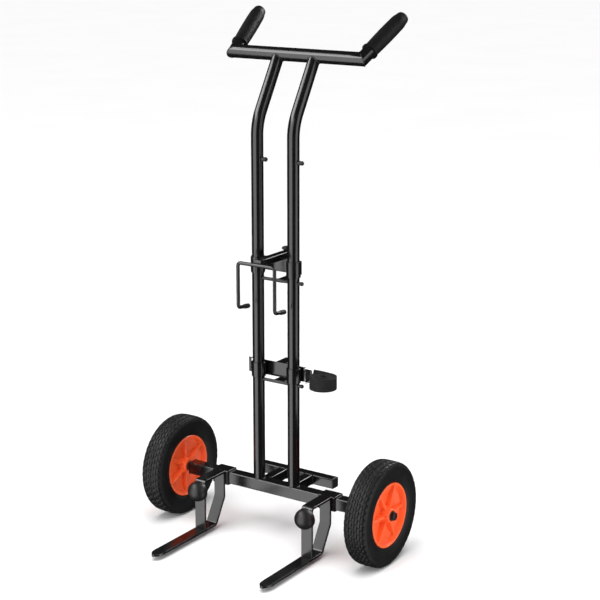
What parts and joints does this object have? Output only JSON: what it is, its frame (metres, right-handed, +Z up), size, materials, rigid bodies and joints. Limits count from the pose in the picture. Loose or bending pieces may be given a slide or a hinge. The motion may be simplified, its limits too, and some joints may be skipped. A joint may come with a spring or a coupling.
{
  "type": "drum dolly",
  "caption": "Tall two-wheeled hand truck for drums: flat forks that slide on a square beam, twin round uprights with a sliding rim hook and strap bar, and a bent handle with two grips.",
  "frame": {"origin": "on the floor, under the middle of the whole object from side to side and front to back", "axes": "+Z up; +X along the beam and the axle; the forks point along -Y and the handle leans back along +Y"},
  "size_m": [0.6668, 0.5232, 1.2517],
  "materials": {
    "powder_coat": "satin black powder coat on steel tube and bar",
    "zinc_steel": "dark zinc plate",
    "chrome": "bright chrome plate",
    "orange_plastic": "moulded orange plastic, slight sheen",
    "tyre": "matt black rubber with block tread",
    "grip_rubber": "matt black",
    "bumper_rubber": "smooth black rubber",
    "black_plastic": "matt black moulding",
    "nylon": "black nylon",
    "webbing": "woven black polyester webbing"
  },
  "bodies": {
    "frame": {"axle": "zinc_steel", "beam": "powder_coat", "handle_bar": "powder_coat", "left_axle_washer": "zinc_steel", "left_beam_end_plate": "powder_coat", "left_grip": "grip_rubber", "left_hub_cap": "black_plastic", "left_rear_arm": "powder_coat", "left_rear_bar_cap": "black_plastic", "left_stop_stud": "black_plastic", "left_upright": "powder_coat", "left_wheel_spacer": "zinc_steel", "lower_cross_pin": "zinc_steel", "rear_bar": "powder_coat", "right_axle_washer": "zinc_steel", "right_beam_end_plate": "powder_coat", "right_grip": "grip_rubber", "right_hub_cap": "black_plastic", "right_rear_arm": "powder_coat", "right_rear_bar_cap": "black_plastic", "right_stop_stud": "black_plastic", "right_upright": "powder_coat", "right_wheel_spacer": "zinc_steel", "upper_cross_pin": "zinc_steel"},
    "left_wheel": {"left_tyre": "tyre", "left_rim": "orange_plastic", "left_inner_bush": "nylon", "left_outer_bush": "nylon"},
    "right_wheel": {"right_tyre": "tyre", "right_rim": "orange_plastic", "right_inner_bush": "nylon", "right_outer_bush": "nylon"},
    "left_fork": {"left_fork_sleeve": "powder_coat", "left_tine": "powder_coat", "left_fork_brace": "powder_coat", "left_bumper": "bumper_rubber", "left_bumper_screw": "zinc_steel", "left_fork_lock_bolt": "zinc_steel"},
    "right_fork": {"right_fork_sleeve": "powder_coat", "right_tine": "powder_coat", "right_fork_brace": "powder_coat", "right_bumper": "bumper_rubber", "right_bumper_screw": "zinc_steel", "right_fork_lock_bolt": "zinc_steel"},
    "hook_carriage": {"hook_plate": "powder_coat", "hook_left_collar": "powder_coat", "hook_right_collar": "powder_coat", "hook_arm": "powder_coat", "hook_pull_handle": "powder_coat", "rim_hook": "powder_coat", "left_hook_tip": "bumper_rubber", "right_hook_tip": "bumper_rubber"},
    "hook_knob": {"hook_lock_knob": "black_plastic"},
    "strap_carriage": {"strap_bar": "powder_coat", "strap_left_collar": "powder_coat", "strap_right_collar": "powder_coat", "strap_pull_handle": "powder_coat", "strap_ring": "chrome", "strap_roll": "webbing"}
  },
  "joints": [
    {"name": "left_wheel_spin", "type": "hinge", "parent": "frame", "child": "left_wheel", "pos_m": [-0.2925, 0.02638, 0.125], "axis": [1, 0, 0], "continuous": true},
    {"name": "right_wheel_spin", "type": "hinge", "parent": "frame", "child": "right_wheel", "pos_m": [0.2925, 0.02638, 0.125], "axis": [1, 0, 0], "continuous": true},
    {"name": "left_fork_slide", "type": "slide", "parent": "frame", "child": "left_fork", "axis": [-1, 0, 0], "range_m": [-0.066, 0.073]},
    {"name": "right_fork_slide", "type": "slide", "parent": "frame", "child": "right_fork", "axis": [1, 0, 0], "range_m": [-0.066, 0.073]},
    {"name": "hook_carriage_slide", "type": "slide", "parent": "frame", "child": "hook_carriage", "axis": [0, 0, 1], "range_m": [-0.0068, 0.2245]},
    {"name": "hook_knob_turn", "type": "hinge", "parent": "hook_carriage", "child": "hook_knob", "pos_m": [0, 0.07338, 0.708], "axis": [0, 0, 1], "continuous": true},
    {"name": "strap_carriage_slide", "type": "slide", "parent": "frame", "child": "strap_carriage", "axis": [0, 0, 1], "range_m": [0, 0.191]}
  ]
}
